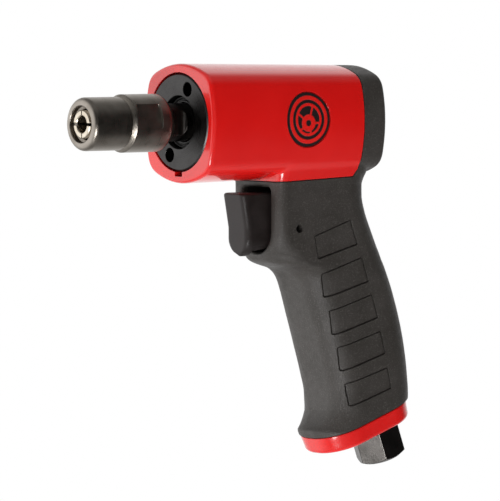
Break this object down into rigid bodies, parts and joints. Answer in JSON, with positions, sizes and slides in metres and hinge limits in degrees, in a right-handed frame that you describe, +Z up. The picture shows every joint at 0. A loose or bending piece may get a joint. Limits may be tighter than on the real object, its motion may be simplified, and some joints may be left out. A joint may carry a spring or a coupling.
{
  "type": "pneumatic die grinder",
  "caption": "Pistol-grip air die grinder with a red cast barrel, black rubber grip and rear cap, push trigger, nose collet and nut, and a hexagonal air inlet under the grip.",
  "frame": {"origin": "middle of the handle, where a hand closes round it", "axes": "+X back along the spindle, away from the collet; +Y to the tool's far side; +Z up from the air inlet to the barrel"},
  "size_m": [0.1529, 0.0438, 0.1569],
  "materials": {
    "red_paint": "gloss enamel",
    "rubber": "fine-grained matt",
    "black_plastic": "satin",
    "black_oxide": "black oxide, burnished",
    "turned_steel": "turned",
    "bright_steel": "bright",
    "bronze_steel": "ground",
    "aluminium": "machined",
    "brass": "machined",
    "seal": "matt",
    "vane_fibre": "laminated",
    "felt": "felt",
    "badge": "gloss"
  },
  "bodies": {
    "body": {"motor_housing": "red_paint", "grip_overmould": "rubber", "badge_near": "badge", "badge_far": "badge", "base_cap": "red_paint", "base_gasket": "seal", "inlet_bushing": "bright_steel", "inlet_screen": "brass", "inlet_o_ring": "seal", "exhaust_muffler": "felt", "trigger_pin": "bright_steel", "valve_bush": "brass", "valve_bush_o_ring": "seal", "valve_spring": "bright_steel", "front_cap": "turned_steel", "front_cap_o_ring": "seal", "front_seal": "seal", "front_end_plate": "aluminium", "rear_end_plate": "aluminium", "cylinder_dowel": "bright_steel", "front_bearing_outer_race": "bright_steel", "rear_bearing_outer_race": "bright_steel", "wave_washer": "bright_steel", "cylinder_liner": "bright_steel"},
    "rotor": {"rotor_shaft": "black_oxide", "rotor_vane_1": "vane_fibre", "rotor_vane_2": "vane_fibre", "rotor_vane_3": "vane_fibre", "rotor_vane_4": "vane_fibre", "rotor_vane_5": "vane_fibre", "front_bearing_inner_race": "bright_steel", "rear_bearing_inner_race": "bright_steel"},
    "front_balls": {"front_bearing_ball_cage": "brass"},
    "rear_balls": {"rear_bearing_ball_cage": "brass"},
    "collet": {"collet": "bronze_steel"},
    "nut": {"collet_nut": "black_oxide"},
    "trigger": {"trigger": "black_plastic", "valve_stem": "bright_steel", "valve_seal": "seal"}
  },
  "joints": [
    {"name": "spindle_spin", "type": "hinge", "parent": "body", "child": "rotor", "pos_m": [-0.081, 0, 0.075], "axis": [1, 0, 0], "continuous": true},
    {"name": "front_balls_spin", "type": "hinge", "parent": "body", "child": "front_balls", "pos_m": [-0.0704, 0, 0.075], "axis": [1, 0, 0], "continuous": true},
    {"name": "rear_balls_spin", "type": "hinge", "parent": "body", "child": "rear_balls", "pos_m": [-0.0189, 0, 0.075], "axis": [1, 0, 0], "continuous": true},
    {"name": "collet_slide", "type": "slide", "parent": "rotor", "child": "collet", "axis": [-1, 0, 0], "range_m": [0, 0.0025]},
    {"name": "collet_nut_turn", "type": "hinge", "parent": "collet", "child": "nut", "pos_m": [-0.111, 0, 0.075], "axis": [-1, 0, 0], "range_deg": [0, 720]},
    {"name": "trigger_press", "type": "slide", "parent": "body", "child": "trigger", "axis": [1, 0, 0], "range_m": [0, 0.0045], "stiffness_N_per_m": 2500, "springref_m": -0.004, "deforming": ["valve_spring"]}
  ],
  "couplings": [
    {"joint": "front_balls_spin", "follows": "spindle_spin", "ratio": 0.4465},
    {"joint": "rear_balls_spin", "follows": "spindle_spin", "ratio": 0.416},
    {"joint": "collet_nut_turn", "follows": "collet_slide", "rad_per_m": 5026.5}
  ]
}
